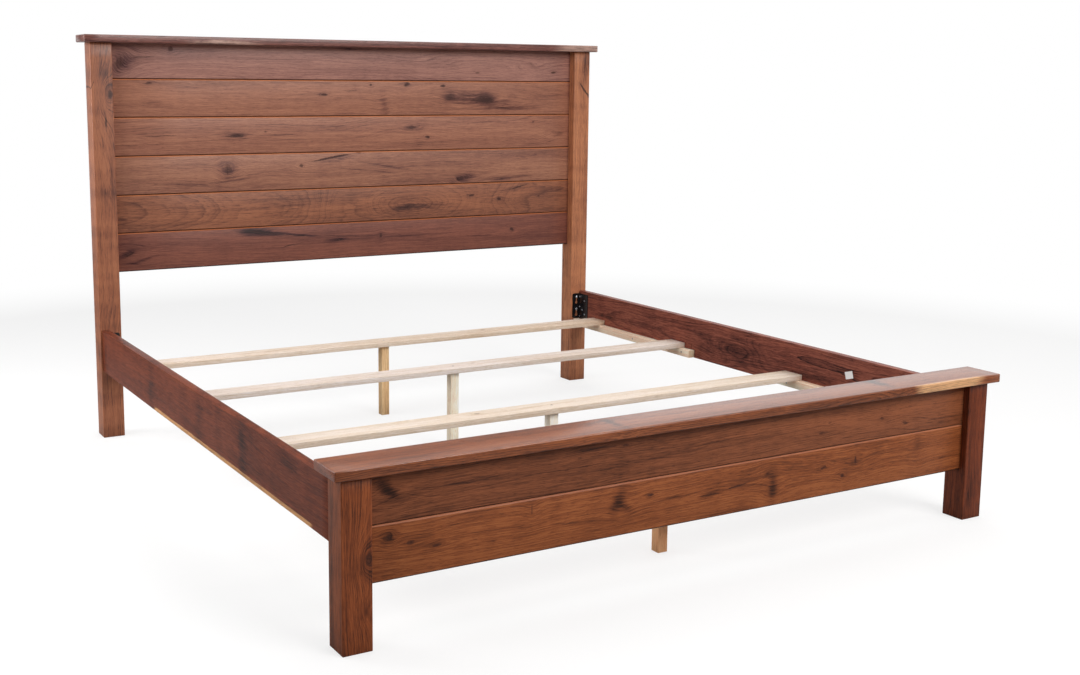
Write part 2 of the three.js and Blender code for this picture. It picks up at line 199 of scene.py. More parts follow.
def wood(name, axis, seed, light, mid, dark, marks=(), sap=(), pith=(0.3, 0.25, 0.0), flat=1.0, ring=0.0046, ring_amt=0.8,
         streak=1.0, grain=1.0, rough=0.40, coat=0.0, sap_col=(206, 160, 112), knot_col=(62, 36, 30), curl=0.35, spec=0.28, bump=0.25,
         wave=1.0, painted_seam_shading=None, seam_highlight_col=(214, 122, 62), endcol=(0.42, 0.36, 0.34, 1)):
    """Sawn timber: growth rings cut by the board, fibre, pores, colour streaks, knots, cracks and sapwood.
    marks: (kind, u, v, half length, half height, slope, strength); k knot, c crack, s smudge, e swell of the rings
    (strength in metres).
    pith: (v, w, slope of w along the board) of the ring centre; flat < 1 opens the arches; the seam argument: (top,
    bottom, face) of a V seam, where a painted highlight goes along the board's top chamfer and painted shade along its
    bottom chamfer."""
    mat, n, bsdf = new_material(name)
    tc = n.node("ShaderNodeTexCoord")
    s = n.sep(tc.outputs["Object"])
    iu, iv, iw = AXES[axis]
    P0 = n.comb(s[iu], s[iv], s[iw])
    off = Vector((seed * 3.17 % 11 - 5, seed * 7.31 % 13 - 6, seed * 1.93 % 9 - 4))
    Q = n.shift(P0, off)
    def nz(v, scale, gain, detail=2.0, rough_=0.55):
        return n.mul(n.sub(n.noise(n.scale(v, scale), 1.0, detail, rough_), 0.5), gain)
    wob = nz(Q, (1.3, 5.0, 5.0), 1.0)
    wob2 = nz(Q, (6.0, 16.0, 16.0), 1.0, 1.0)
    u, v, w = n.sep(P0)
    push = n.add(n.mul(wob, 0.050 * wave), n.mul(wob2, 0.0055 * wave))
    jit = nz(Q, (38.0, 70.0, 70.0), 1.0)
    fine_jit = nz(Q, (150.0, 260.0, 260.0), 1.0, 1.0)
    wig = n.comb(u, n.add(v, n.add(n.mul(jit, 0.0065), n.mul(wob2, 0.010))), w)
    core = shade = smear = swell = None
    join = lambda a, b, op="MAXIMUM": b if a is None else n.m(op, a, b)
    for kind, mu, mv, su, sv, slope, amt in marks:
        g = n.node("ShaderNodeGroup"); g.node_tree = MARK
        n.put(g.inputs["P"], wig if kind == "c" else P0)
        for k, val in (("U0", mu), ("V0", mv), ("SU", su), ("SV", sv), ("Slope", slope), ("Push", {"k": 0.85, "s": 0.2, "e": 0.0, "c": 0.0}[kind])):
            g.inputs[k].default_value = val
        if kind in "ks": push = n.add(push, g.outputs["Warp"])
        if kind == "e":
            swell = join(swell, n.mul(g.outputs["Halo"], amt), "ADD"); continue
        if kind == "s":
            smear = join(smear, n.mul(g.outputs["Halo"], amt), "ADD"); continue
        r = n.add(g.outputs["Radius"], n.add(n.mul(jit, 0.9), n.mul(fine_jit, 0.5)))
        core = join(core, n.mul(n.sub(1.0, n.step(r, 0.5, 1.15)), amt))
        if kind == "k":
            eye = n.mul(n.add(0.55, n.mul(n.m("SINE", n.mul(r, 9.0)), 0.25)), n.mul(n.m("EXPONENT", n.mul(n.mul(r, r), -0.28)), amt))
            shade = join(shade, eye)
    vv = n.add(v, push)
    # growth rings round a pith line that runs nearly along the board
    pv, pw, ps = pith
    rv = n.mul(n.sub(vv, pv), flat)
    rw = n.sub(n.sub(w, pw), n.add(n.mul(u, ps), n.mul(nz(Q, (2.2, 0.5, 0.5), 1.0, 1.0), 0.05)))
    R = n.m("SQRT", n.add(n.mul(rv, rv), n.mul(rw, rw)))
    if swell is not None: R = n.add(R, swell)
    phase = n.add(n.m("DIVIDE", R, ring), n.add(nz(Q, (2.5, 22.0, 22.0), 1.3 * wave), nz(Q, (26.0, 240.0, 240.0), 0.30)))
    fr = n.m("FRACT", phase)
    each = n.node("ShaderNodeTexWhiteNoise", noise_dimensions="1D"); n.put(each.inputs["W"], n.add(n.m("FLOOR", phase), seed * 1.37))
    line = n.ramp(fr, [(0.0, (0.15,) * 3), (0.06, (0.0,) * 3), (0.50, (0.14,) * 3), (0.82, (0.60,) * 3), (0.94, (1.0,) * 3), (1.0, (0.15,) * 3)], "LINEAR")
    rings = n.mul(line, n.add(n.m("POWER", each.outputs["Value"], 1.6), 0.18))
    p2 = n.add(n.mul(phase, 2.9), nz(Q, (9.0, 90.0, 90.0), 0.8))
    e2 = n.node("ShaderNodeTexWhiteNoise", noise_dimensions="1D"); n.put(e2.inputs["W"], n.add(n.m("FLOOR", p2), seed * 2.71))
    rings = n.add(rings, n.mul(n.mul(n.m("POWER", n.m("FRACT", p2), 2.5), n.m("POWER", e2.outputs["Value"], 2.0)), 0.55))
    # colour streaks, fibre and pores
    QB = n.shift(n.comb(u, n.add(vv, n.mul(swell, 1.2)) if swell is not None else vv, w), off)
    broad = nz(QB, (1.1, 15.0, 15.0), 1.0 * streak, 3.0)
    QS = n.shift(n.comb(u, n.add(v, n.mul(n.sub(vv, v), 0.85)), w), off * 1.3)
    strand = nz(QB, (2.2, 85.0, 85.0), 0.62 * grain, 3.0, 0.62)
    thread = nz(QS, (6.5, 250.0, 250.0), 0.95 * grain, 3.0, 0.65)
    fibre = nz(QS, (26.0, 640.0, 640.0), 1.1 * grain, 2.0)
    dash = n.mul(n.step(n.noise(n.scale(QS, (48.0, 560.0, 560.0)), 1.0, 2.0, 0.6), 0.56, 0.68), 0.30 * grain)
    pores = n.step(n.noise(n.scale(QB, (55.0, 1500.0, 1500.0)), 1.0, 1.0, 0.5), 0.60, 0.74)
    tone = n.add(n.add(broad, strand), n.add(thread, n.add(fibre, dash)))
    tone = n.add(tone, n.add(n.mul(rings, ring_amt * 0.50), n.add(nz(Q, (19.0, 3.5, 3.5), -0.5 * curl, 1.0), nz(Q, (7.0, 12.0, 12.0), 0.40 * curl, 2.0))))
    if smear is not None:
        feather = n.step(n.add(nz(QB, (9.0, 120.0, 120.0), 1.0, 3.0, 0.7), n.mul(smear, 0.16)), -0.10, 0.20)
        tone = n.add(tone, n.mul(smear, n.add(n.mul(feather, 0.62), 0.10)))
    if shade is not None: tone = n.add(tone, n.mul(shade, 0.45))
    tone = n.m("MULTIPLY", n.add(tone, 0.24), 0.72, clamp=True)
    T = lambda c, k=1.0: fit_tone_and_light(name, c, k)
    col = n.ramp(tone, [(0.0, T(light)), (0.28, T(mid)), (0.52, T([(a + b) / 2 for a, b in zip(mid, dark)])), (0.75, T(dark)), (1.0, T(dark, 0.38))])
    col = n.mix(n.mul(pores, 0.35), col, T(dark, 0.4))
    for (u0, u1, v0, v1, w0, w1, soft, amt) in sap:
        m = None
        for sock, a, b, k in ((u, u0, u1, 8.0), (v, v0, v1, 1.0), (w, w0, w1, 1.0)):
            if a is None: continue
            js = n.add(sock, n.add(n.mul(wob2, soft * 3.5 * k), n.mul(jit, soft * 1.2)))
            e = n.mul(n.step(js, a - soft * k, a + soft * k), n.sub(1.0, n.step(js, b - soft * k, b + soft * k)))
            m = e if m is None else n.mul(m, e)
        sc = n.ramp(tone, [(0.0, fit_tone_and_light(name + "_sap", [min(255, c * 1.10) for c in sap_col])), (0.8, fit_tone_and_light(name + "_sap", [c * 0.66 for c in sap_col]))])
        col = n.mix(n.mul(m, amt), col, sc)
    if core is not None:
        kc = n.ramp(n.noise(n.scale(Q, (220.0, 330.0, 330.0)), 1.0, 2.0), [(0.3, T(knot_col, 0.45)), (0.75, T(knot_col, 1.8))])
        col = n.mix(n.m("MINIMUM", core, 0.92), col, kc)
    # painted light at the V seams: a painted highlight along the board's top chamfer, which faces up, and painted shade
    # along its bottom chamfer, which faces down
    if painted_seam_shading:
        near = n.sub(1.0, n.step(w, painted_seam_shading[2] + 0.0042, painted_seam_shading[2] + 0.0056))
        painted_highlight_mask = n.mul(n.step(v, painted_seam_shading[0] - 0.0040, painted_seam_shading[0] - 0.0022), near)
        painted_shade_mask = n.mul(n.sub(1.0, n.step(v, painted_seam_shading[1] + 0.0022, painted_seam_shading[1] + 0.0050)), near)
        col = n.mix(n.mul(painted_highlight_mask, 0.65), col, T(seam_highlight_col)); col = n.mix(n.mul(painted_shade_mask, 0.85), col, T(dark, 0.22))
    nn = n.node("ShaderNodeSeparateXYZ"); n.put(nn.inputs[0], tc.outputs["Normal"])
    endg = n.step(n.m("ABSOLUTE", nn.outputs[iu]), 0.55, 0.85)
    col = n.mix(n.mul(endg, 0.9), col, endcol, "MULTIPLY")
    n.put(bsdf.inputs["Base Color"], col)
    rg = n.add(n.mul(fibre, 0.10), n.add(n.mul(pores, 0.12), n.add(rough, n.mul(broad, 0.10))))
    if core is not None: rg = n.add(rg, n.mul(core, 0.18))
    n.put(bsdf.inputs["Roughness"], rg)
    bsdf.inputs["Specular IOR Level"].default_value = spec
    bsdf.inputs["Coat Weight"].default_value = coat
    bsdf.inputs["Coat Roughness"].default_value = 0.24
    height = n.add(n.mul(fibre, 0.6), n.add(n.mul(rings, -0.35), n.mul(pores, -0.9)))
    if core is not None: height = n.sub(height, n.mul(core, 1.6))
    b = n.node("ShaderNodeBump"); b.inputs["Strength"].default_value = bump; b.inputs["Distance"].default_value = 0.0006
    n.put(b.inputs["Height"], height); n.put(bsdf.inputs["Normal"], b.outputs[0])
    return mat

# ------------------------------------------------------------------ mesh helpers
def wobble(p, seed, f=7.0):
    return noise.noise(Vector((p[0] * f + seed * 1.7, p[1] * f - seed * 2.3, p[2] * f + seed)))

def eased(w, h, r, seg=4):
    """Rectangle section with rounded corners, centred, anticlockwise."""
    pts = []
    for cx, cy, a0 in ((w / 2 - r, h / 2 - r, 0), (-w / 2 + r, h / 2 - r, 90), (-w / 2 + r, -h / 2 + r, 180), (w / 2 - r, -h / 2 + r, 270)):
        for k in range(seg + 1):
            a = math.radians(a0 + 90 * k / seg); pts.append((cx + r * math.cos(a), cy + r * math.sin(a)))
    return pts

def sweep(name, section, axis, lo, hi, ease=0.0015, wear=0.0, seed=0, step=0.06, centre=(0, 0)):
    """A section pushed along an axis, with eased ends and slightly worn long edges.
    section: 2-D points in the two other axes, in cyclic order (y,z) (z,x) (x,y)."""
    ia = "xyz".index(axis); ib, ic = (ia + 1) % 3, (ia + 2) % 3
    L = hi - lo; n = max(2, int(L / step))
    st = [(lo, 1.0), (lo + ease * 0.3, 0.55), (lo + ease, 0.0)]
    st += [(lo + ease + (L - 2 * ease) * k / n, 0.0) for k in range(1, n)]
    st += [(hi - ease, 0.0), (hi - ease * 0.3, 0.55), (hi, 1.0)]
    cb = sum(p[0] for p in section) / len(section); cc = sum(p[1] for p in section) / len(section)
    bb = [min(p[0] for p in section), max(p[0] for p in section), min(p[1] for p in section), max(p[1] for p in section)]
    bm = bmesh.new(); rows = []
    for s, inset in st:
        row = []
        for (b, c) in section:
            # ends pull in by the ease, each side towards its middle
            k = inset * ease
            b2 = min(max(b, bb[0] + k), bb[1] - k); c2 = min(max(c, bb[2] + k), bb[3] - k)
            co = [0, 0, 0]; co[ia] = s; co[ib] = b2 + centre[0]; co[ic] = c2 + centre[1]
            if wear:
                d = wear * (0.5 + 0.5 * wobble(co, seed))
                corner = min(abs(b2 - bb[0]), abs(b2 - bb[1])) + min(abs(c2 - bb[2]), abs(c2 - bb[3]))
                if corner < 0.008:
                    co[ib] += (cb + centre[0] - co[ib] > 0 or -1) * d * 0.7 if abs(cb + centre[0] - co[ib]) > 1e-6 else 0
                    co[ic] += (cc + centre[1] - co[ic] > 0 or -1) * d * 0.7 if abs(cc + centre[1] - co[ic]) > 1e-6 else 0
            row.append(bm.verts.new(co))
        rows.append(row)
    m = len(section)
    for a, b in zip(rows, rows[1:]):
        for k in range(m):
            bm.faces.new((a[k], a[(k + 1) % m], b[(k + 1) % m], b[k]))
    bm.faces.new(list(reversed(rows[0]))); bm.faces.new(rows[-1])
    bmesh.ops.recalc_face_normals(bm, faces=bm.faces)
    return finish_mesh(name, bm)

def finish_mesh(name, bm, angle=40):
    me = bpy.data.meshes.new(name); bm.to_mesh(me); bm.free()
    ob = bpy.data.objects.new(name, me); scene.collection.objects.link(ob)
    smooth(ob, angle)
    return ob

def smooth(ob, angle=40):
    me = ob.data
    me.polygons.foreach_set("use_smooth", [True] * len(me.polygons))
    me.set_sharp_from_angle(angle=math.radians(angle))

def carve(ob, *cutters):
    """Cuts other meshes out of a piece and drops them."""
    for c in cutters:
        m = ob.modifiers.new("cut", "BOOLEAN"); m.operation = "DIFFERENCE"; m.solver = "EXACT"; m.object = c
    dg = bpy.context.evaluated_depsgraph_get()
    me = bpy.data.meshes.new_from_object(ob.evaluated_get(dg))
    ob.modifiers.clear(); old = ob.data; ob.data = me; bpy.data.meshes.remove(old)
    for c in cutters: bpy.data.objects.remove(c)
    smooth(ob)

def box_tool(lo, hi):
    bm = bmesh.new(); bmesh.ops.create_cube(bm, size=1.0)
    for v in bm.verts:
        v.co = Vector([(l + h) / 2 + c * (h - l) for c, l, h in zip(v.co, lo, hi)])
    return finish_mesh("tool", bm)

def rod_tool(axis, r, centre, length, seg=24):
    bm = bmesh.new(); bmesh.ops.create_cone(bm, cap_ends=True, segments=seg, radius1=r, radius2=r, depth=length)
    rot = {"x": Matrix.Rotation(math.pi / 2, 4, "Y"), "y": Matrix.Rotation(math.pi / 2, 4, "X"), "z": Matrix.Identity(4)}[axis]
    bmesh.ops.transform(bm, matrix=Matrix.Translation(centre) @ rot, verts=bm.verts)
    return finish_mesh("tool", bm)

def lathe(name, profile, axis, origin, direction=1, seg=32):
    """Profile (radius, along) turned round an axis."""
    bm = bmesh.new(); rows = []
    for r, h in profile:
        if r < 1e-7: rows.append([bm.verts.new((0, 0, h))]); continue
        rows.append([bm.verts.new((r * math.cos(2 * math.pi * k / seg), r * math.sin(2 * math.pi * k / seg), h)) for k in range(seg)])
    for a, b in zip(rows, rows[1:]):
        for k in range(seg):
            k2 = (k + 1) % seg
            if len(a) == 1 and len(b) > 1: bm.faces.new((a[0], b[k2], b[k]))
            elif len(b) == 1 and len(a) > 1: bm.faces.new((a[k], a[k2], b[0]))
            elif len(a) > 1: bm.faces.new((a[k], a[k2], b[k2], b[k]))
    z = {"x": Vector((1, 0, 0)), "y": Vector((0, 1, 0)), "z": Vector((0, 0, 1))}[axis] * direction
    q = z.to_track_quat("Z", "X").to_matrix().to_4x4()
    bmesh.ops.transform(bm, matrix=Matrix.Translation(origin) @ q, verts=bm.verts)
    bmesh.ops.recalc_face_normals(bm, faces=bm.faces)
    return finish_mesh(name, bm, 35)

def own(ob, mat, node=None, body=BODY):
    """Rides, replaces its CAD node and takes a material."""
    ob.data.materials.clear(); ob.data.materials.append(mat)
    if node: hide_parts(node)
    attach(ob, body)
    return ob

def plank_section(top, bottom, is_top, is_bottom, v=0.0032):
    """Section (depth from the face, height) of a tongue and groove board with a V seam."""
    t, g, m, w = PLANK, 0.00025, PLANK / 2, 0.004
    hi, lo = top - (FIT if is_top else g), bottom + (0 if is_bottom else g)
    def chamfer(a, b):  # slightly rounded chamfer between two points round a corner
        return [a, (a[0] + (b[0] - a[0]) * 0.12 + 0, a[1] + (b[1] - a[1]) * 0.12), (a[0] + (b[0] - a[0]) * 0.88, a[1] + (b[1] - a[1]) * 0.88), b]
    p = [(0.0, lo + v + 0.0006), (0.00018, lo + v), (v, lo + 0.00018), (v + 0.0006, lo)]
    if not is_bottom:
        p += [(m - w - 0.0003, lo), (m - w - 0.0003, lo + 0.0086), (m + w + 0.0003, lo + 0.0086), (m + w + 0.0003, lo)]
    p += [(t - 0.0015, lo), (t - 0.0004, lo + 0.0004), (t, lo + 0.0015), (t, hi - 0.0015), (t - 0.0004, hi - 0.0004), (t - 0.0015, hi)]
    if not is_top:
        p += [(m + w, hi), (m + w, hi + 0.008), (m - w, hi + 0.008), (m - w, hi)]
    p += [(v + 0.0006, hi), (v, hi - 0.00018), (0.00018, hi - v), (0.0, hi - v - 0.0006)]
    return p

# ------------------------------------------------------------------ headboard
HL, HM, HD = (158, 106, 82), (136, 86, 68), (86, 52, 46)
def hb(i): return HEAD_SEAMS[i], HEAD_SEAMS[i + 1]
HEAD = [
    dict(seed=1, pith=(1.30, HEAD_FACE + 0.05, 0.02), light=(164, 114, 98), mid=(143, 97, 84), dark=(96, 62, 58), curl=0.5, marks=[
        ("k", -0.938, 1.350, 0.018, 0.020, 0.3, 0.55), ("s", -0.925, 1.350, 0.040, 0.035, 0.5, 0.85), ("c", -0.86, 1.372, 0.055, 0.0014, 0.05, 0.7),
        ("k", -0.752, 1.404, 0.010, 0.010, 0.0, 0.7), ("s", -0.05, 1.417, 0.04, 0.004, 0.0, 0.9), ("k", 0.523, 1.330, 0.012, 0.004, 0.0, 0.6),
        ("k", 0.890, 1.334, 0.013, 0.005, 0.1, 0.85), ("e", 0.26, 1.362, 0.20, 0.030, -0.08, 0.028), ("e", 0.80, 1.345, 0.13, 0.022, 0.06, 0.026), ("e", -0.93, 1.35, 0.05, 0.04, 0.2, 0.02)]),
    dict(seed=2, pith=(1.05, HEAD_FACE + 0.10, 0.00), light=(170, 114, 86), mid=(148, 97, 74), dark=(98, 60, 50), marks=[
        ("k", -0.836, 1.281, 0.014, 0.004, 0.1, 0.7), ("k", -0.154, 1.240, 0.014, 0.0045, 0.0, 0.9), ("c", -0.043, 1.256, 0.034, 0.0013, 0.0, 0.9),
        ("k", 0.043, 1.278, 0.006, 0.005, 0.0, 0.8), ("k", 0.200, 1.280, 0.014, 0.008, 0.2, 0.9), ("k", 0.363, 1.276, 0.012, 0.006, 0.0, 0.9),
        ("s", 0.485, 1.224, 0.085, 0.022, -0.03, 1.15), ("s", 0.575, 1.219, 0.032, 0.019, 0.0, 1.1), ("s", 0.395, 1.232, 0.022, 0.012, 0.0, 0.8),
        ("s", 0.100, 1.208, 0.014, 0.030, -0.9, 0.7), ("s", 0.72, 1.186, 0.09, 0.010, 0.03, 0.9), ("s", 0.66, 1.205, 0.03, 0.02, 0.5, 0.5), ("s", -0.82, 1.21, 0.03, 0.010, 0.0, 0.5),
        ("e", 0.50, 1.222, 0.14, 0.035, 0.0, 0.022), ("e", 0.10, 1.21, 0.04, 0.05, 0.0, 0.014), ("e", 0.84, 1.23, 0.10, 0.03, 0.3, 0.018)]),
    dict(seed=3, pith=(1.20, HEAD_FACE + 0.12, 0.01), light=(168, 114, 86), mid=(147, 96, 74), dark=(96, 60, 50), marks=[
        ("c", -0.800, 1.090, 0.070, 0.0015, 0.0, 0.85), ("k", -0.512, 1.088, 0.018, 0.0058, 0.0, 0.95), ("s", -0.512, 1.088, 0.035, 0.010, 0.0, 0.8), ("c", -0.535, 1.086, 0.042, 0.0014, 0.0, 0.8),
        ("k", -0.396, 1.101, 0.005, 0.004, 0.0, 0.6), ("s", -0.35, 1.088, 0.12, 0.003, 0.02, 0.7), ("k", 0.227, 1.111, 0.018, 0.006, 0.0, 0.55),
        ("s", 0.225, 1.111, 0.035, 0.009, 0.0, 0.75), ("k", 0.293, 1.071, 0.012, 0.006, -0.15, 0.9), ("s", 0.925, 1.078, 0.02, 0.009, 0.1, 0.7), ("k", 0.793, 1.128, 0.005, 0.004, 0.0, 0.6),
        ("s", -0.85, 1.085, 0.06, 0.02, 0.0, 0.4), ("e", 0.93, 1.080, 0.07, 0.035, 0.0, 0.030), ("e", 0.25, 1.10, 0.16, 0.03, 0.0, 0.018), ("e", -0.50, 1.088, 0.10, 0.02, 0.0, 0.010)]),
    dict(seed=4, pith=(0.80, HEAD_FACE + 0.07, 0.03), light=(168, 116, 88), mid=(142, 94, 73), dark=(88, 56, 50), streak=1.25, marks=[
        ("k", -0.546, 0.964, 0.015, 0.020, 0.0, 0.5), ("c", -0.549, 0.960, 0.0040, 0.020, 0.0, 0.75), ("s", -0.545, 0.966, 0.03, 0.024, 0.0, 0.6), ("s", -0.53, 0.920, 0.10, 0.003, 0.10, 0.8), ("s", -0.50, 0.935, 0.09, 0.0025, 0.12, 0.6),
        ("k", -0.253, 0.969, 0.009, 0.006, 0.0, 0.75), ("c", -0.126, 0.995, 0.090, 0.0046, 0.15, 1.0), ("s", -0.10, 0.992, 0.05, 0.009, 0.12, 0.8), ("k", -0.012, 1.014, 0.012, 0.0035, -0.05, 0.85),
        ("s", 0.460, 0.901, 0.040, 0.013, 0.12, 1.1), ("k", 0.455, 0.901, 0.026, 0.008, 0.15, 0.45), ("s", 0.627, 0.891, 0.035, 0.006, 0.0, 1.0), ("s", 0.10, 0.960, 0.10, 0.0035, -0.18, 0.8), ("s", 0.06, 0.940, 0.12, 0.003, -0.10, 0.6),
        ("s", 0.72, 0.900, 0.08, 0.005, 0.06, 0.6), ("e", -0.546, 0.964, 0.05, 0.035, 0.0, 0.014), ("e", -0.05, 0.96, 0.20, 0.04, 0.1, 0.020), ("e", 0.47, 0.90, 0.08, 0.03, 0.1, 0.02)]),
    dict(seed=5, pith=(0.818, HEAD_FACE + 0.088, 0.062), light=(170, 110, 78), mid=(142, 90, 66), dark=(84, 54, 46), ring=0.0050, ring_amt=0.95, flat=0.5, wave=0.9, grain=1.15, marks=[
        ("s", -0.946, 0.791, 0.016, 0.004, 0.0, 1.1), ("s", 0.205, 0.800, 0.045, 0.026, 0.0, 0.6), ("s", 0.24, 0.79, 0.10, 0.008, 0.05, 0.6), ("k", 0.497, 0.828, 0.013, 0.0045, 0.1, 0.85),
        ("k", 0.630, 0.808, 0.011, 0.0070, -0.2, 0.95), ("c", 0.727, 0.857, 0.055, 0.0024, 0.26, 0.9), ("s", 0.70, 0.852, 0.05, 0.008, 0.2, 0.6), ("k", 0.823, 0.814, 0.007, 0.004, 0.0, 0.6), ("s", -0.34, 0.812, 0.09, 0.018, 0.0, 0.5),
        ("e", 0.222, 0.800, 0.11, 0.034, 0.0, -0.030), ("e", -0.06, 0.81, 0.10, 0.05, 0.0, 0.012), ("e", 0.65, 0.81, 0.08, 0.04, 0.0, 0.014)]),
    dict(seed=6, pith=(0.45, HEAD_FACE + 0.09, 0.02), light=(144, 90, 72), mid=(122, 75, 61), dark=(76, 44, 42), streak=1.2, marks=[
        ("s", -0.935, 0.664, 0.030, 0.010, 0.4, 1.1), ("c", -0.925, 0.660, 0.022, 0.004, 0.5, 0.8), ("s", -0.865, 0.642, 0.035, 0.004, 0.25, 1.1), ("s", -0.90, 0.625, 0.03, 0.004, -0.2, 0.8),
        ("s", -0.465, 0.722, 0.045, 0.012, -0.10, 1.3), ("s", -0.38, 0.712, 0.065, 0.009, -0.14, 1.25), ("s", -0.27, 0.702, 0.07, 0.003, -0.14, 0.9), ("s", -0.10, 0.690, 0.14, 0.002, -0.06, 0.7),
        ("c", -0.41, 0.716, 0.07, 0.0026, -0.15, 0.7), ("c", -0.30, 0.663, 0.050, 0.0020, 0.14, 0.9), ("s", -0.106, 0.674, 0.030, 0.005, 0.1, 0.9), ("k", -0.106, 0.673, 0.013, 0.004, 0.1, 0.7),
        ("k", 0.083, 0.681, 0.006, 0.008, 0.0, 0.85), ("k", 0.693, 0.678, 0.009, 0.007, -0.3, 0.95), ("s", 0.527, 0.659, 0.04, 0.0025, 0.0, 0.8), ("s", 0.25, 0.675, 0.22, 0.003, 0.0, 0.6),
        ("e", -0.45, 0.715, 0.12, 0.02, -0.1, 0.018), ("e", 0.69, 0.68, 0.05, 0.03, 0.0, 0.02), ("e", -0.90, 0.65, 0.06, 0.03, 0.2, 0.02)]),
]
for i, kw in enumerate(HEAD):
    top, bottom = hb(i); name = f"headboard_plank_{i + 1}"
    sec = plank_section(top, bottom, i == 0, i == 5)
    ob = sweep(f"{name}_board", sec, "x", -IN - HOUSING, IN + HOUSING, 0.0008, centre=(HEAD_FACE, 0), step=0.25)
    # each plank's seam argument puts a painted highlight and painted shade at its V seams
    own(ob, wood(f"walnut_{name}", "x", painted_seam_shading=(top + (1 if i == 0 else 0), bottom, HEAD_FACE), **kw), name)

POST_HB = [dict(seed=11, spec=0.6, grain=1.15, curl=1.8, streak=1.3, ring_amt=1.0, light=(196, 138, 100), mid=(172, 116, 84), dark=(104, 66, 54), pith=(-1.10, HALF + 0.12, 0.004), marks=[
                ("k", 1.241, -0.984, 0.018, 0.009, 0.0, 0.6), ("s", 1.245, -0.988, 0.045, 0.016, 0.1, 0.7), ("c", 1.141, -1.003, 0.024, 0.0030, 0.0, 0.95), ("e", 1.241, -0.984, 0.055, 0.030, 0.0, 0.030), ("s", 1.33, -1.01, 0.05, 0.02, 0.0, 0.5), ("s", 1.09, -1.02, 0.08, 0.02, 0.1, -0.6), ("s", 1.28, -1.03, 0.04, 0.012, 0.0, -0.4), ("s", 0.62, -1.01, 0.12, 0.02, 0.0, -0.35), ("s", 0.44, -1.00, 0.02, 0.02, 0.0, 0.4),
                ("c", 1.272, -1.047, 0.02, 0.0016, 0.4, 0.8), ("s", 0.90, -1.0, 0.12, 0.02, 0.1, 0.5)]),
           dict(seed=12, spec=0.4, grain=1.1, curl=1.3, ring_amt=0.9, light=(192, 132, 92), mid=(170, 112, 78), dark=(106, 66, 50), pith=(1.16, HALF + 0.10, -0.004), marks=[
                ("s", 1.371, 1.032, 0.04, 0.014, 0.0, 1.0), ("c", 1.264, 1.0235, 0.032, 0.0075, -0.80, 1.0)])]
POST_FB = [dict(seed=13, grain=1.35, ring_amt=1.5, curl=0.9, light=(132, 82, 58), mid=(112, 66, 46), dark=(66, 38, 30), pith=(-1.12, -HALF + 0.05, 0.03), streak=1.2, marks=[
                ("k", 0.222, -0.983, 0.013, 0.007, 0.0, 1.0), ("s", 0.222, -0.983, 0.022, 0.010, 0.0, 1.0), ("e", 0.222, -0.980, 0.040, 0.026, 0.0, 0.035), ("s", 0.335, -1.000, 0.055, 0.006, 0.18, -0.9), ("s", 0.28, -0.992, 0.04, 0.005, 0.2, -0.7), ("s", 0.30, -1.035, 0.15, 0.008, 0.0, 0.5), ("s", 0.15, -1.005, 0.06, 0.010, 0.2, -0.4), ("e", 0.099, -0.993, 0.03, 0.015, 0.0, 0.018), ("s", 0.099, -0.993, 0.010, 0.006, 0.0, 0.6)]),
           dict(seed=14, grain=1.4, ring_amt=1.4, light=(120, 72, 52), mid=(100, 58, 42), dark=(60, 34, 28), pith=(1.14, -HALF + 0.08, -0.03), marks=[
                ("s", 0.38, 1.035, 0.02, 0.008, 0.0, 0.7), ("s", 0.10, 1.01, 0.06, 0.015, 0.2, 0.7)])]
def make_post(head, side, kw):
    word = "left" if side < 0 else "right"; end = "headboard" if head else "footboard"; node = f"{end}_post_{word}"
    y0 = HALF if head else -HALF - POST; height = 1.421 if head else 0.419
    face = HEAD_FACE if head else FOOT_FACE; bottom = (HEAD_SEAMS if head else FOOT_SEAMS)[-1]
    x0 = -OUT if side < 0 else IN
    ob = sweep(f"{node}_timber", eased(POST, POST, 0.003, 5), "z", 0.0, height, 0.002, wear=0.0005, seed=kw["seed"], step=0.05, centre=(x0 + POST / 2, y0 + POST / 2))
    a, b = side * (IN - 0.002), side * (IN + HOUSING + FIT)
    tools = [box_tool((min(a, b), face - FIT, bottom - FIT), (max(a, b), face + PLANK + FIT, height + 0.01)),
             rod_tool("z", 0.0054, (side * (IN + POST / 2), y0 + POST / 2, height - 0.0105), 0.031)]
    for z in BOLT_Z:
        tools.append(rod_tool("y", 0.0030, (side * (RAIL_IN - 0.0145), (HALF + 0.017) if head else -HALF - 0.017, z), 0.044, 16))
    carve(ob, *tools)
    own(ob, wood(f"walnut_{node}", "z", **kw), node)
for k, side in enumerate((-1, 1)):
    make_post(True, side, POST_HB[k]); make_post(False, side, POST_FB[k])

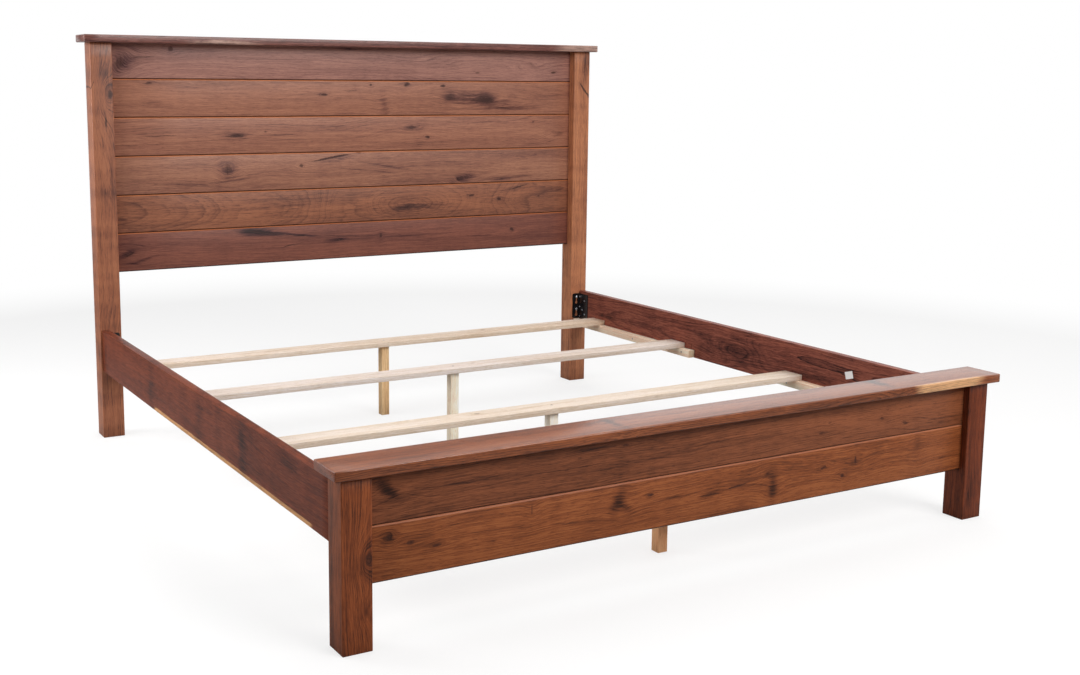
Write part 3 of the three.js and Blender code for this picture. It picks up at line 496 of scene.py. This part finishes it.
# ------------------------------------------------------------------ footboard planks
FOOT = [
    dict(seed=21, pith=(0.60, FOOT_FACE + 0.10, 0.05), light=(126, 78, 56), mid=(108, 65, 46), dark=(64, 36, 26), streak=1.3, grain=1.25, ring=0.0058, ring_amt=1.0, curl=0.6, marks=[
        ("s", -0.930, 0.378, 0.022, 0.014, -0.6, 1.2), ("s", -0.915, 0.360, 0.016, 0.008, -0.4, 0.9), ("s", -0.726, 0.359, 0.04, 0.003, 0.0, 0.9), ("k", -0.260, 0.389, 0.012, 0.004, 0.0, 0.8), ("s", -0.35, 0.392, 0.04, 0.003, 0.0, 0.9),
        ("k", 0.407, 0.336, 0.009, 0.003, 0.1, 0.8), ("k", 0.640, 0.350, 0.008, 0.004, -0.2, 0.7), ("k", 0.437, 0.362, 0.007, 0.003, 0.1, 0.6), ("k", 0.733, 0.326, 0.011, 0.004, -0.2, 0.8), ("s", -0.15, 0.345, 0.20, 0.008, 0.08, 0.5),
        ("e", -0.92, 0.37, 0.06, 0.03, -0.3, 0.03), ("e", 0.70, 0.34, 0.15, 0.03, 0.1, 0.025), ("e", -0.45, 0.35, 0.20, 0.03, 0.0, 0.018)]),
    # this plank's seam highlight colour is the paler painted highlight on its top chamfer
    dict(seed=22, pith=(0.02, FOOT_FACE + 0.10, 0.02), light=(150, 94, 62), mid=(128, 75, 48), dark=(78, 44, 30), grain=1.3, streak=1.2, ring=0.0062, ring_amt=1.0, curl=0.7, seam_highlight_col=(176, 120, 104), marks=[
        ("k", -0.923, 0.256, 0.008, 0.007, 0.0, 0.5), ("k", -0.866, 0.236, 0.010, 0.0055, 0.0, 0.8), ("k", -0.796, 0.217, 0.013, 0.004, 0.1, 0.75), ("s", -0.866, 0.236, 0.022, 0.010, 0.0, 0.6), ("s", -0.796, 0.217, 0.025, 0.007, 0.1, 0.6), ("s", -0.923, 0.256, 0.014, 0.012, 0.3, 0.8), ("c", -0.536, 0.259, 0.0020, 0.013, 0.0, 0.6),
        ("c", -0.420, 0.211, 0.032, 0.0012, 0.0, 0.75), ("s", -0.280, 0.242, 0.020, 0.020, 0.8, 1.0), ("s", -0.255, 0.226, 0.024, 0.010, -0.5, 0.9), ("s", -0.24, 0.238, 0.03, 0.008, 0.3, -0.5), ("k", -0.176, 0.246, 0.011, 0.0050, 0.0, 0.95), ("s", -0.10, 0.229, 0.030, 0.004, 0.0, 0.8),
        ("s", 0.020, 0.219, 0.026, 0.005, 0.1, 1.0), ("c", 0.108, 0.226, 0.042, 0.0026, 0.12, 0.95), ("s", 0.108, 0.228, 0.04, 0.006, 0.12, 0.6), ("s", 0.237, 0.205, 0.012, 0.030, 0.0, 1.15), ("s", 0.27, 0.21, 0.02, 0.03, 0.0, -0.4), ("s", 0.205, 0.21, 0.015, 0.03, 0.0, -0.4), ("s", 0.217, 0.249, 0.010, 0.006, 0.3, 0.9),
        ("k", 0.419, 0.234, 0.011, 0.004, 0.2, 0.85), ("k", 0.493, 0.202, 0.0075, 0.0065, 0.0, 0.95), ("c", 0.542, 0.242, 0.0045, 0.013, 0.0, 0.95), ("s", 0.545, 0.243, 0.016, 0.016, 0.6, 0.6), ("c", 0.897, 0.198, 0.017, 0.0016, 0.1, 0.8),
        ("s", 0.79, 0.25, 0.010, 0.03, 0.0, 0.4), ("s", -0.60, 0.20, 0.10, 0.01, 0.0, 0.4), ("e", -0.27, 0.235, 0.055, 0.03, 0.0, 0.015), ("e", 0.237, 0.205, 0.035, 0.05, 0.0, 0.014), ("e", -0.86, 0.24, 0.07, 0.03, 0.0, 0.02), ("e", 0.53, 0.22, 0.06, 0.03, 0.0, 0.018), ("e", -0.536, 0.255, 0.02, 0.03, 0.0, 0.012)]),
]
for i, (nm, kw) in enumerate(zip(("upper", "lower"), FOOT)):
    node = f"footboard_plank_{nm}"
    sec = plank_section(FOOT_SEAMS[i], FOOT_SEAMS[i + 1], i == 0, i == 1)
    ob = sweep(f"{node}_board", sec, "x", -IN - HOUSING, IN + HOUSING, 0.0008, centre=(FOOT_FACE, 0), step=0.25)
    # each plank's seam argument puts a painted highlight and painted shade at its V seams
    own(ob, wood(f"walnut_{node}", "x", painted_seam_shading=(FOOT_SEAMS[i] + (1 if i == 0 else 0), FOOT_SEAMS[i + 1], FOOT_FACE), **kw), node)

# ------------------------------------------------------------------ caps
def make_cap(head, kw):
    end = "headboard" if head else "footboard"; z0, z1 = (1.421, 1.448) if head else (0.419, 0.445)
    ya = (HALF if head else -HALF - POST) - 0.024; yb = ya + POST + 0.048; face = HEAD_FACE if head else FOOT_FACE
    ob = sweep(f"{end}_cap_board", eased(yb - ya, z1 - z0, 0.0042, 5), "x", -OUT - 0.024, OUT + 0.024, 0.003, wear=0.0005, seed=kw["seed"], step=0.05, centre=((ya + yb) / 2, (z0 + z1) / 2))
    tools = [box_tool((-IN - HOUSING - FIT, face - FIT, z0 - 0.005), (IN + HOUSING + FIT, face + PLANK + FIT, z0 + 0.0083))]
    for side in (-1, 1):
        tools.append(rod_tool("z", 0.0054, (side * (IN + POST / 2), (ya + yb) / 2, z0 + 0.008), 0.024))
    carve(ob, *tools)
    own(ob, wood(f"walnut_{end}_cap", "cap", **kw), f"{end}_cap")
make_cap(True, dict(seed=31, endcol=(0.85, 0.75, 0.70, 1), coat=0.5, rough=0.34, grain=1.8, ring_amt=1.5, light=(168, 122, 104), mid=(142, 98, 84), dark=(98, 64, 58), pith=(HALF - 0.15, 1.30, 0.01), sap_col=(200, 168, 146), marks=[],
    sap=[(-0.687, -0.444, HALF - 0.05, HALF - 0.0225, 1.40, 1.434, 0.004, 0.9), (0.885, 1.2, HALF - 0.05, HALF + 0.01, 1.40, 1.50, 0.006, 0.75)]))
make_cap(False, dict(seed=32, coat=0.5, rough=0.34, endcol=(0.98, 0.80, 0.72, 1), grain=1.3, light=(176, 118, 78), mid=(150, 96, 64), dark=(88, 54, 38), pith=(-HALF - POST - 0.04, 0.41, 0.006), ring_amt=1.2, streak=1.3, wave=1.0, sap_col=(216, 170, 118), marks=[
        ("s", -0.286, -1.075, 0.012, 0.035, 0.0, 1.0), ("s", 0.651, -1.06, 0.016, 0.04, 0.0, 1.1), ("s", -0.80, -1.11, 0.08, 0.01, 0.0, 0.6)],
    sap=[(0.742, 0.985, -1.16, -1.1345, 0.40, 0.46, 0.0035, 0.97)]))

# ------------------------------------------------------------------ side rails and ledgers
RAILS = [dict(seed=41, spec=0.16, grain=1.4, streak=0.65, light=(112, 70, 56), mid=(94, 56, 46), dark=(56, 32, 28), pith=(0.10, -1.05, 0.03), ring_amt=0.9, curl=1.0, sap_col=(206, 146, 92), marks=[
                ("s", 0.42, 0.325, 0.028, 0.075, 0.0, 0.8), ("s", -0.445, 0.33, 0.030, 0.09, 0.0, 1.0), ("s", -0.17, 0.33, 0.022, 0.09, 0.0, -0.8), ("s", -0.08, 0.34, 0.025, 0.07, 0.0, 0.6), ("s", -0.30, 0.32, 0.030, 0.08, 0.0, -0.45), ("s", -0.62, 0.34, 0.05, 0.06, 0.0, -0.3), ("s", -0.80, 0.365, 0.10, 0.012, 0.1, 0.6),
                ("e", -0.85, 0.33, 0.15, 0.04, 0.0, 0.02), ("e", -0.30, 0.33, 0.12, 0.05, 0.0, 0.015)],
             sap=[(-0.924, 0.378, 0.20, 0.2585, -1.06, -1.024, 0.0014, 0.95)]),
         dict(seed=42, spec=0.12, grain=1.6, streak=0.85, light=(108, 64, 51), mid=(88, 49, 40), dark=(48, 26, 23), pith=(0.325, 1.085, 0.035), curl=0.8, ring=0.0062, ring_amt=1.5, marks=[
                ("s", -0.05, 0.315, 0.07, 0.024, 0.0, 0.7), ("s", 0.07, 0.32, 0.04, 0.02, 0.0, 0.5), ("e", -0.02, 0.318, 0.12, 0.035, 0.0, 0.03), ("s", 0.10, 0.35, 0.05, 0.04, 0.0, -0.35), ("c", 0.252, 0.2895, 0.0028, 0.012, 0.0, 1.0),
                ("s", -0.40, 0.30, 0.10, 0.02, 0.1, 0.5), ("e", -0.38, 0.31, 0.14, 0.03, 0.0, 0.02)])]
SY = [0.885, 0.3363, -0.3205, -0.894]
LX = [0.001, 0.013, 0.012, 0.010]
LEDGERS = {("left", "head"): 51, ("right", "head"): 52, ("left", "foot"): 53, ("right", "foot"): 54}
def pale(name, axis, seed, light, mid, dark, **kw):
    base = dict(rough=0.62, coat=0.0, grain=0.75, endcol=(0.80, 0.72, 0.62, 1), ring=0.0035, ring_amt=0.6, streak=1.15, knot_col=(104, 72, 48), curl=0.2, bump=0.35, spec=0.45)
    base.update(kw)
    return wood(name, axis, seed, light, mid, dark, **base)
for k, side in enumerate((-1, 1)):
    word = "left" if side < 0 else "right"
    ob = sweep(f"side_rail_{word}_timber", eased(0.1515, 0.028, 0.002, 5), "y", -HALF + FIT, HALF - FIT, 0.0012, wear=0.0005, seed=41 + k, step=0.05,
               centre=(0.246 + 0.07575, side * 1.029))
    tools = [rod_tool("x", 0.0022, (side * (RAIL_IN + 0.010), e * (HALF - 0.048), z), 0.024, 12) for e in (-1, 1) for z in SCREW_Z]
    carve(ob, *tools)
    own(ob, wood(f"walnut_rail_{word}", "y", **RAILS[k]), f"side_rail_{word}")
    for end, y0, y1 in (("head", 0.2335, HALF - 0.0005), ("foot", -HALF + 0.0005, -0.2665)):
        a, b = side * (RAIL_IN - 0.028), side * (RAIL_IN - 0.0002)
        ob = sweep(f"ledger_{word}_{end}_strip", eased(0.028, 0.0278, 0.0012, 3), "y", y0, y1, 0.0008, wear=0.0004, seed=50 + k, step=0.04, centre=(0.262, (a + b) / 2))
        sd = LEDGERS[(word, end)]
        own(ob, pale(f"poplar_ledger_{word}_{end}", "y", sd, (226, 196, 160), (204, 170, 134), (160, 122, 88), pith=(0.10, side * 0.93, 0.01),
                     marks=[("s", y1 - 0.06 if end == "head" else y1 - 0.3, 0.262, 0.03, 0.008, 0, 0.9), ("k", y0 + 0.135, 0.263, 0.005, 0.004, 0, 0.9)]), f"ledger_{word}_{end}")
        # screws through the ledger into the rail, heads flush with its face
        for j, yy in enumerate((0.280, 0.602, 0.925) if end == "head" else (-0.985, -0.650, -0.315)):
            lathe(f"ledger_screw_{word}_{end}_{j}", [(0.0, 0.0004), (0.0016, 0.0004), (0.0031, 0.0002), (0.0037, -0.0004), (0.0020, -0.0026), (0.0, -0.0030)],
                  "x", Vector((side * (RAIL_IN - 0.028), yy, 0.262 + 0.002 * math.sin(7 * yy))), -side, 16)

# ------------------------------------------------------------------ slats and legs
for i, (y, lx) in enumerate(zip(SY, LX)):
    body = f"slat_{i + 1}"; zb, zt = 0.2762, 0.2952
    ob = sweep(f"slat_{i + 1}_board", eased(0.086, 0.019, 0.0015, 3), "x", -1.0145, 1.0145, 0.001, wear=0.0004, seed=60 + i, step=0.05, centre=(y, (zb + zt) / 2))
    bm = bmesh.new()
    bmesh.ops.create_cone(bm, cap_ends=True, segments=24, radius1=0.0024, radius2=0.0049, depth=0.0032, matrix=Matrix.Translation((lx, y, zt - 0.0015)))
    carve(ob, rod_tool("z", 0.0025, (lx, y, zb + 0.009), 0.040, 16), finish_mesh("tool", bm))
    own(ob, pale(f"poplar_slat_{i + 1}", "cap", 61 + i, (240, 228, 204), (226, 208, 176), (188, 158, 118), pith=(y + 0.06 * (-1) ** i, 0.20, 0.012 * (-1) ** i), ring=0.0055, ring_amt=0.7,
                 marks=[("k", 0.45 - 0.35 * i, y + 0.012, 0.012, 0.007, 0, 0.5), ("s", -0.5 + 0.2 * i, y, 0.2, 0.01, 0.02, 0.5)]), f"slat_{i + 1}", body)
    leg = sweep(f"slat_{i + 1}_leg_post", eased(0.032, 0.032, 0.0015, 3), "z", 0.0, zb - 0.0001, 0.001, wear=0.0004, seed=70 + i, step=0.04, centre=(lx, y))
    carve(leg, rod_tool("z", 0.0025, (lx, y, zb - 0.022), 0.060, 16))
    own(leg, pale(f"poplar_leg_{i + 1}", "z", 71 + i, (226, 190, 148), (204, 164, 120), (156, 114, 76), pith=(lx + 0.06, y - 0.05, 0.02), ring_amt=0.8, marks=[]), f"slat_{i + 1}_leg", body)

# ------------------------------------------------------------------ steel, dowels, label
def metal(name, base, rough, metallic, grain=60.0, spec=0.5, wearcol=None):
    mat, n, bsdf = new_material(name)
    o = n.node("ShaderNodeTexCoord").outputs["Object"]
    f = n.noise(n.scale(o, (grain * 6, grain * 6, grain * 6)), 1.0, 3.0, 0.6)
    broad = n.noise(n.scale(o, (grain, grain, grain)), 1.0, 2.0)
    col = n.ramp(broad, [(0.25, srgb(*[c * 0.8 for c in base])), (0.75, srgb(*[min(255, c * 1.15) for c in base]))])
    if wearcol:
        col = n.mix(n.mul(n.step(n.mul(f, broad), 0.34, 0.46), 0.5), col, srgb(*wearcol))
    n.put(bsdf.inputs["Base Color"], col)
    n.put(bsdf.inputs["Roughness"], n.add(n.mul(n.sub(f, 0.5), 0.2), rough))
    bsdf.inputs["Metallic"].default_value = metallic
    bsdf.inputs["Specular IOR Level"].default_value = spec
    b = n.node("ShaderNodeBump"); b.inputs["Strength"].default_value = 0.15; b.inputs["Distance"].default_value = 0.0002
    n.put(b.inputs["Height"], f); n.put(bsdf.inputs["Normal"], b.outputs[0])
    return mat
STEEL = metal("black_coated_steel", (17, 16, 19), 0.24, 0.0, 80.0, spec=0.7, wearcol=(62, 60, 64))
ZINC = metal("bright_zinc", (214, 216, 226), 0.26, 1.0, 200.0)
DULL = metal("dull_zinc", (168, 168, 176), 0.28, 1.0, 200.0)
BEECH = pale("beech_dowel", "z", 90, (222, 184, 140), (206, 168, 122), (170, 128, 88))

for ob in list(bpy.data.objects):
    if ob.name.startswith("ledger_screw"):
        own(ob, DULL)

def cross_tool(axis, centre, size, depth):
    d = {"x": (depth, size, size * 0.22), "y": (size, depth, size * 0.22), "z": (size, size * 0.22, depth)}[axis]
    e = {"x": (depth, size * 0.22, size), "y": (size * 0.22, depth, size), "z": (size * 0.22, size, depth)}[axis]
    return [box_tool([c - s / 2 for c, s in zip(centre, q)], [c + s / 2 for c, s in zip(centre, q)]) for q in (d, e)]

for dirn, end in ((1, "head"), (-1, "foot")):
    for side, word in ((-1, "left"), (1, "right")):
        src = frame["nodes"][f"bracket_{end}_{word}"]
        ob = bpy.data.objects.new(f"bracket_{end}_{word}_plate", src.data.copy()); scene.collection.objects.link(ob)
        bv = ob.modifiers.new("edge", "BEVEL"); bv.width = 0.00045; bv.segments = 2; bv.limit_method = "ANGLE"; bv.angle_limit = math.radians(50)
        dg = bpy.context.evaluated_depsgraph_get(); me = bpy.data.meshes.new_from_object(ob.evaluated_get(dg))
        ob.modifiers.clear(); ob.data = me; smooth(ob, 35)
        own(ob, STEEL, f"bracket_{end}_{word}")
        bx = side * (RAIL_IN - 0.0145); y0 = dirn * HALF
        for i, z in enumerate(BOLT_Z):
            lvl = "lower" if i else "upper"
            o = lathe(f"bolt_{end}_{word}_{lvl}_turned", [(0, -0.032), (0.0022, -0.031), (0.0025, -0.030), (0.0025, 0), (0.0033, 0), (0.0033, 0.0032), (0.0054, 0.0032), (0.0056, 0.0034), (0.0056, 0.0049),
                      (0.0052, 0.0056), (0.0044, 0.0063), (0.0030, 0.0068), (0.0018, 0.00698), (0, 0.007)], "y", Vector((bx, y0, z)), -dirn, 32)
            carve(o, *cross_tool("y", (bx, y0 - dirn * 0.0070, z), 0.0052, 0.0030))
            own(o, ZINC, f"bolt_{end}_{word}_{lvl}")
        pan = [(0, 0.0052), (0.0014, 0.0051), (0.0024, 0.0049), (0.0033, 0.0044), (0.0039, 0.0037), (0.0040, 0.0031), (0.0039, 0.0029), (0.0018, 0.0029), (0.0018, -0.018), (0.0008, -0.021), (0, -0.022)]
        for i, z in enumerate(SCREW_Z):
            lvl = "lower" if i else "upper"; c = Vector((side * RAIL_IN, dirn * (HALF - 0.048), z))
            o = lathe(f"bracket_screw_{end}_{word}_{lvl}_turned", pan, "x", c, -side, 24)
            carve(o, *cross_tool("x", (c.x - side * 0.0054, c.y, c.z), 0.0042, 0.0026))
            own(o, DULL, f"bracket_screw_{end}_{word}_{lvl}")
        # the other small fixings of the rail flange: heads only
        short = [(0, 0.0048), (0.0014, 0.0047), (0.0024, 0.0045), (0.0031, 0.0040), (0.0035, 0.0033), (0.0035, 0.0028), (0.0, 0.0028)]
        for j, (dy, z) in enumerate(((0.0105, 0.3715), (0.0105, 0.328), (0.0105, 0.2865), (0.0310, 0.3157))):
            c = Vector((side * RAIL_IN, dirn * (HALF - dy), z))
            o = lathe(f"bracket_rivet_{end}_{word}_{j}", short, "x", c, -side, 20)
            own(o, DULL)

for i in range(1, 5):
    c = Vector((LX[i - 1], SY[i - 1], 0.2952))
    o = lathe(f"slat_{i}_leg_screw_turned", [(0, -0.0003), (0.0037, -0.0003), (0.0039, -0.0005), (0.0039, -0.0010), (0.0020, -0.0032), (0.0020, -0.053), (0.0008, -0.058), (0, -0.060)], "z", c, 1, 24)
    carve(o, *cross_tool("z", (c.x, c.y, c.z - 0.0006), 0.0044, 0.0026))
    own(o, DULL, f"slat_{i}_leg_screw", f"slat_{i}")

for n_, o in frame["nodes"].items():
    if "dowel" in n_:
        o.data.materials.clear(); o.data.materials.append(BEECH)

# blank paper sticker: a thin flat sheet with rounded corners, turned a little on the rail face
mat, n, bsdf = new_material("blank_paper")
oc = n.node("ShaderNodeTexCoord").outputs["Object"]
n.put(bsdf.inputs["Base Color"], n.ramp(n.noise(n.scale(oc, (900, 900, 900)), 1.0, 3.0), [(0.3, srgb(250, 250, 249)), (0.7, srgb(255, 255, 255))]))
bsdf.inputs["Roughness"].default_value = 0.62
bb = n.node("ShaderNodeBump"); bb.inputs["Strength"].default_value = 0.2; bb.inputs["Distance"].default_value = 0.0001
n.put(bb.inputs["Height"], n.noise(n.scale(oc, (1500, 1500, 1500)), 1.0, 2.0)); n.put(bsdf.inputs["Normal"], bb.outputs[0])
bm = bmesh.new()
sec = eased(0.035, 0.025, 0.0016, 4)
tilt = math.radians(-16.6)
for x in (RAIL_IN - 0.0004, RAIL_IN - 0.00006):
    vs = [bm.verts.new((x, -0.585 + a * math.cos(tilt) - b * math.sin(tilt), 0.3375 + a * math.sin(tilt) + b * math.cos(tilt))) for a, b in sec]
    bm.faces.new(vs)
bm.verts.ensure_lookup_table(); m_ = len(sec)
for k in range(m_):
    k2 = (k + 1) % m_
    bm.faces.new((bm.verts[k], bm.verts[k2], bm.verts[m_ + k2], bm.verts[m_ + k]))
bmesh.ops.recalc_face_normals(bm, faces=bm.faces)
own(finish_mesh("rail_label_sheet", bm), mat, "rail_label")

# ------------------------------------------------------------------ stage, light, camera
bm = bmesh.new(); bmesh.ops.create_circle(bm, cap_ends=True, segments=96, radius=7.5)
floor = finish_mesh("floor", bm)
fm = bpy.data.materials.new("pale_floor"); fm.use_nodes = True; ft = fm.node_tree; ft.nodes.clear(); n = Net(ft)
fo = n.node("ShaderNodeOutputMaterial"); fd = n.node("ShaderNodeBsdfDiffuse"); fe = n.node("ShaderNodeEmission"); fx = n.node("ShaderNodeMixShader")
fl = n.node("ShaderNodeLightPath").outputs["Is Camera Ray"]
n.put(fd.inputs["Color"], n.mix(fl, (0.34, 0.34, 0.34, 1), (0.95, 0.95, 0.95, 1)))
fe.inputs["Color"].default_value = (1, 1, 1, 1); n.put(fe.inputs["Strength"], n.add(n.mul(fl, 0.9), 0.1))
fc = n.sep(n.node("ShaderNodeTexCoord").outputs["Object"])
n.put(fx.inputs[0], n.m("MAXIMUM", n.mul(fl, 0.68), n.step(n.m("SQRT", n.add(n.mul(fc[0], fc[0]), n.mul(fc[1], fc[1]))), 1.9, 5.0)))
ft.links.new(fd.outputs[0], fx.inputs[1]); ft.links.new(fe.outputs[0], fx.inputs[2]); ft.links.new(fx.outputs[0], fo.inputs[0])
floor.data.materials.append(fm)

# a white studio: plain white behind the object, its bright wall behind and to the right, dim towards the left and the front
world = bpy.data.worlds.new("studio"); scene.world = world; world.use_nodes = True
wt = world.node_tree; n = Net(wt); bg = wt.nodes["Background"]
d = n.node("ShaderNodeTexCoord").outputs["Generated"]
dot = n.node("ShaderNodeVectorMath", operation="DOT_PRODUCT"); n.put(dot.inputs[0], d); dot.inputs[1].default_value = (0.82, 0.57, 0.05)
wall = n.add(0.14, n.mul(n.step(dot.outputs["Value"], 0.02, 0.76), 0.95))
seen = n.node("ShaderNodeLightPath").outputs["Is Camera Ray"]
bg.inputs[0].default_value = (1.0, 1.0, 1.0, 1)
n.put(bg.inputs[1], n.add(n.mul(wall, n.sub(1.0, seen)), seen))

def area(name, loc, target, size, power, colour=(1, 1, 1)):
    l = bpy.data.lights.new(name, "AREA"); l.shape = "RECTANGLE"; l.size, l.size_y = size; l.energy = power; l.color = colour
    o = bpy.data.objects.new(name, l); scene.collection.objects.link(o); o.location = loc
    o.rotation_euler = (Vector(target) - Vector(loc)).to_track_quat("-Z", "Y").to_euler()
    return o
area("key", (1.6, -5.2, 3.5), (0, 0.4, 0.7), (3.2, 2.4), 236, (1.0, 0.98, 0.96))
area("top", (0.2, 0.0, 4.8), (0, 0, 0), (5.0, 5.0), 100)
area("left fill", (-3.7, -0.6, 2.0), (-0.9, 0.1, 0.55), (2.2, 2.0), 30)
area("rear left", (-2.9, 1.35, 1.5), (-1.05, 0.7, 0.6), (1.5, 1.5), 44)

cam_data = bpy.data.cameras.new("camera"); cam = bpy.data.objects.new("camera", cam_data); scene.collection.objects.link(cam)
R = Vector((0.86709353, -0.49809022, 0.00741275)); U = Vector((0.06853897, 0.13402786, 0.98860454)); F = Vector((0.49340777, 0.85670454, -0.15035328))
cam.matrix_world = Matrix(((R.x, U.x, -F.x, -2.20258932), (R.y, U.y, -F.y, -2.74845141 - HALF), (R.z, U.z, -F.z, 1.29813712), (0, 0, 0, 1)))
cam_data.sensor_fit = "HORIZONTAL"; cam_data.sensor_width = 36.0; cam_data.lens = 36.0 * 1344.964 / 1080
cam_data.shift_x = (540 - 492.68) / 1080; cam_data.shift_y = (285.249 - 337.5) / 1080
cam_data.clip_start = 0.05; cam_data.clip_end = 60
scene.camera = cam
scene.view_settings.view_transform = "Standard"
scene.view_settings.look = "None"
